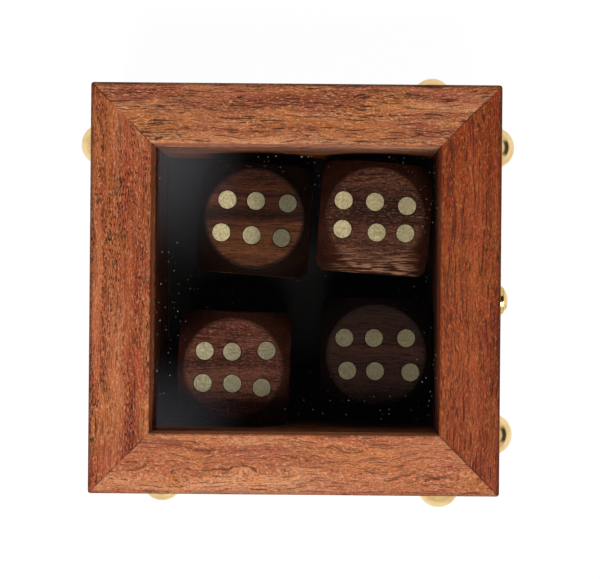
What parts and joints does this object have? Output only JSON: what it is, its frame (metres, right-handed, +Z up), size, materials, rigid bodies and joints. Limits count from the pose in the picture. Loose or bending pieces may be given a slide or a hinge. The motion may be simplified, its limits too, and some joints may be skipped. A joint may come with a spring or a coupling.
{
  "type": "dice box with hinged lid",
  "caption": "Square wooden dice box with a glazed hinged lid, a swing hook, brass dome nails and inlaid wooden dice on felt.",
  "frame": {"origin": "middle of the underside of the closed box", "axes": "+Z up; the hook is on the front at -Y, the hinges are on the back at +Y, and +X is the box's right side"},
  "size_m": [0.0968, 0.0968, 0.05],
  "materials": {
    "box_wood": "oiled rosewood, satin",
    "lid_wood": "waxed rosewood, open pores, satin",
    "board_wood": "plain sanded board",
    "die_wood": "polished dark rosewood",
    "felt": "black felt",
    "glass": "clear sheet glass, dusty",
    "nail_brass": "polished brass",
    "hinge_brass": "brushed brass",
    "latch_brass": "polished brass",
    "pip_brass": "sanded brass, slightly dull"
  },
  "bodies": {
    "box": {"wall_front": "box_wood", "wall_right": "box_wood", "wall_back": "box_wood", "wall_left": "box_wood", "bottom_board": "board_wood", "felt_lining": "felt", "dome_nail_front_right": "nail_brass", "dome_nail_front_left": "nail_brass", "dome_nail_left_front": "nail_brass", "dome_nail_left_back": "nail_brass", "dome_nail_right": "nail_brass", "dome_nail_back": "nail_brass", "hinge_left_body_leaf": "hinge_brass", "hinge_right_body_leaf": "hinge_brass", "hinge_left_pin": "hinge_brass", "hinge_right_pin": "hinge_brass", "hinge_body_screws": "hinge_brass", "catch_peg": "latch_brass"},
    "lid": {"lid_rail_front": "lid_wood", "lid_rail_right": "lid_wood", "lid_rail_back": "lid_wood", "lid_rail_left": "lid_wood", "lid_glass": "glass", "hinge_left_lid_leaf": "hinge_brass", "hinge_right_lid_leaf": "hinge_brass", "hinge_lid_screws": "hinge_brass", "hook_screw": "latch_brass"},
    "hook": {"latch_hook": "latch_brass"},
    "die_back_right": {"die_back_right": "die_wood", "pips_back_right": "pip_brass"},
    "die_front_right": {"die_front_right": "die_wood", "pips_front_right": "pip_brass"},
    "die_back_left": {"die_back_left": "die_wood", "pips_back_left": "pip_brass"},
    "die_front_left": {"die_front_left": "die_wood", "pips_front_left": "pip_brass"}
  },
  "joints": [
    {"name": "lid_hinge", "type": "hinge", "parent": "box", "child": "lid", "pos_m": [0, 0.044, 0.0381], "axis": [-1, 0, 0], "range_deg": [0, 130]},
    {"name": "hook_swing", "type": "hinge", "parent": "lid", "child": "hook", "pos_m": [-0.002, -0.04445, 0.0441], "axis": [0, -1, 0], "range_deg": [-180, 22]},
    {"name": "back_right_die_lift", "type": "slide", "parent": "box", "child": "die_back_right", "axis": [0, 0, 1], "range_m": [0, 0.0075]},
    {"name": "front_right_die_lift", "type": "slide", "parent": "box", "child": "die_front_right", "axis": [0, 0, 1], "range_m": [0, 0.0075]},
    {"name": "back_left_die_lift", "type": "slide", "parent": "box", "child": "die_back_left", "axis": [0, 0, 1], "range_m": [0, 0.0075]},
    {"name": "front_left_die_lift", "type": "slide", "parent": "box", "child": "die_front_left", "axis": [0, 0, 1], "range_m": [0, 0.0075]}
  ]
}
